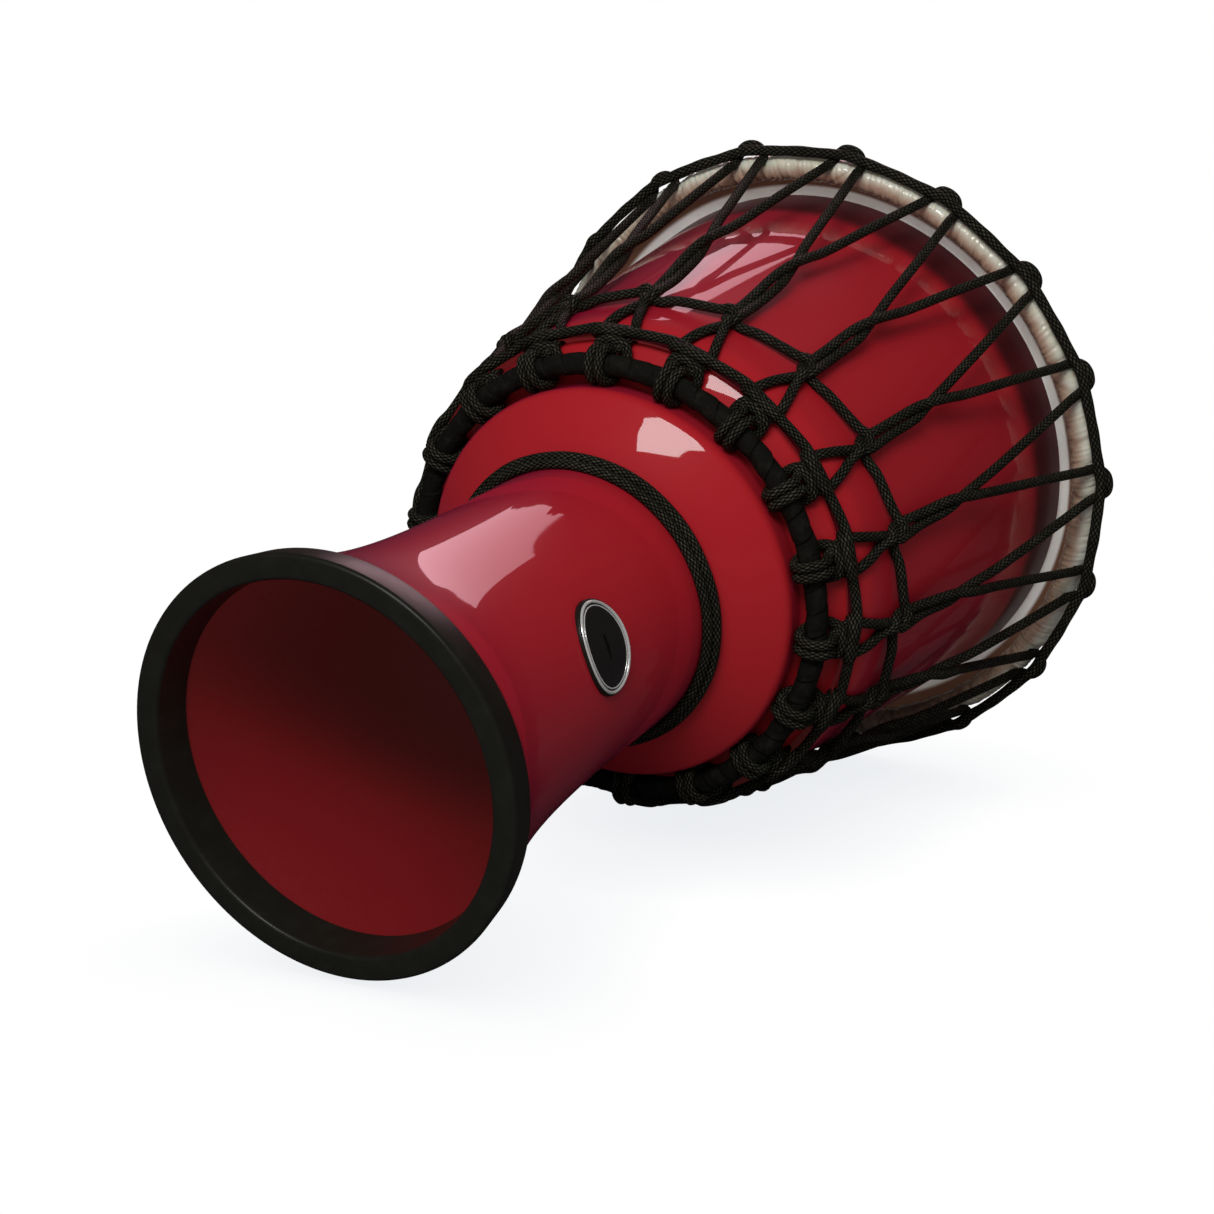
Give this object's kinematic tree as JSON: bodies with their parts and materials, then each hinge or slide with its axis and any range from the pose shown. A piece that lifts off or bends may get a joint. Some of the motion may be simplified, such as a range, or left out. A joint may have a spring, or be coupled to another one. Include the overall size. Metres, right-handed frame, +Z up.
{
  "type": "djembe",
  "caption": "Rope-tuned goblet drum with a moulded shell, a skin head on a flesh hoop, a net of braided cord over a cloth-wrapped lower ring, and a rubber foot ring.",
  "frame": {"origin": "centre of the foot ring's resting face", "axes": "+Z up along the drum's axis from the foot to the head; -Y is the front, where the badge is"},
  "size_m": [0.2214, 0.2224, 0.3048],
  "materials": {
    "shell": "high gloss red",
    "rubber": "smooth matte black",
    "skin": "thin natural drum skin, glossy where it is rolled",
    "steel": "plain bar",
    "cord": "braided synthetic cord",
    "cloth": "spiral-wound cotton tape",
    "bezel": "polished",
    "badge_field": "gloss black"
  },
  "bodies": {
    "drum": {"shell": "shell", "foot_ring": "rubber", "left_tension_cords": "cord", "right_tension_cords": "cord", "upper_weave_cord": "cord", "upper_weave_turns": "cord", "left_lower_cords": "cord", "right_lower_cords": "cord", "lower_weave_cord": "cord", "lower_weave_turns": "cord", "ring_hitches": "cord", "lower_ring": "steel", "ring_cloth_wrap": "cloth", "neck_cord": "cord", "neck_cord_knot": "cord", "cord_tail": "cord", "badge_bezel": "bezel", "badge_plate": "badge_field", "badge_pad": "rubber"},
    "head": {"drum_skin": "skin", "flesh_hoop": "steel", "crown_cord": "cord", "crown_hitches": "cord"}
  },
  "joints": [
    {"name": "head_tuning", "type": "slide", "parent": "drum", "child": "head", "axis": [0, 0, 1], "range_m": [0, 0.005]}
  ]
}
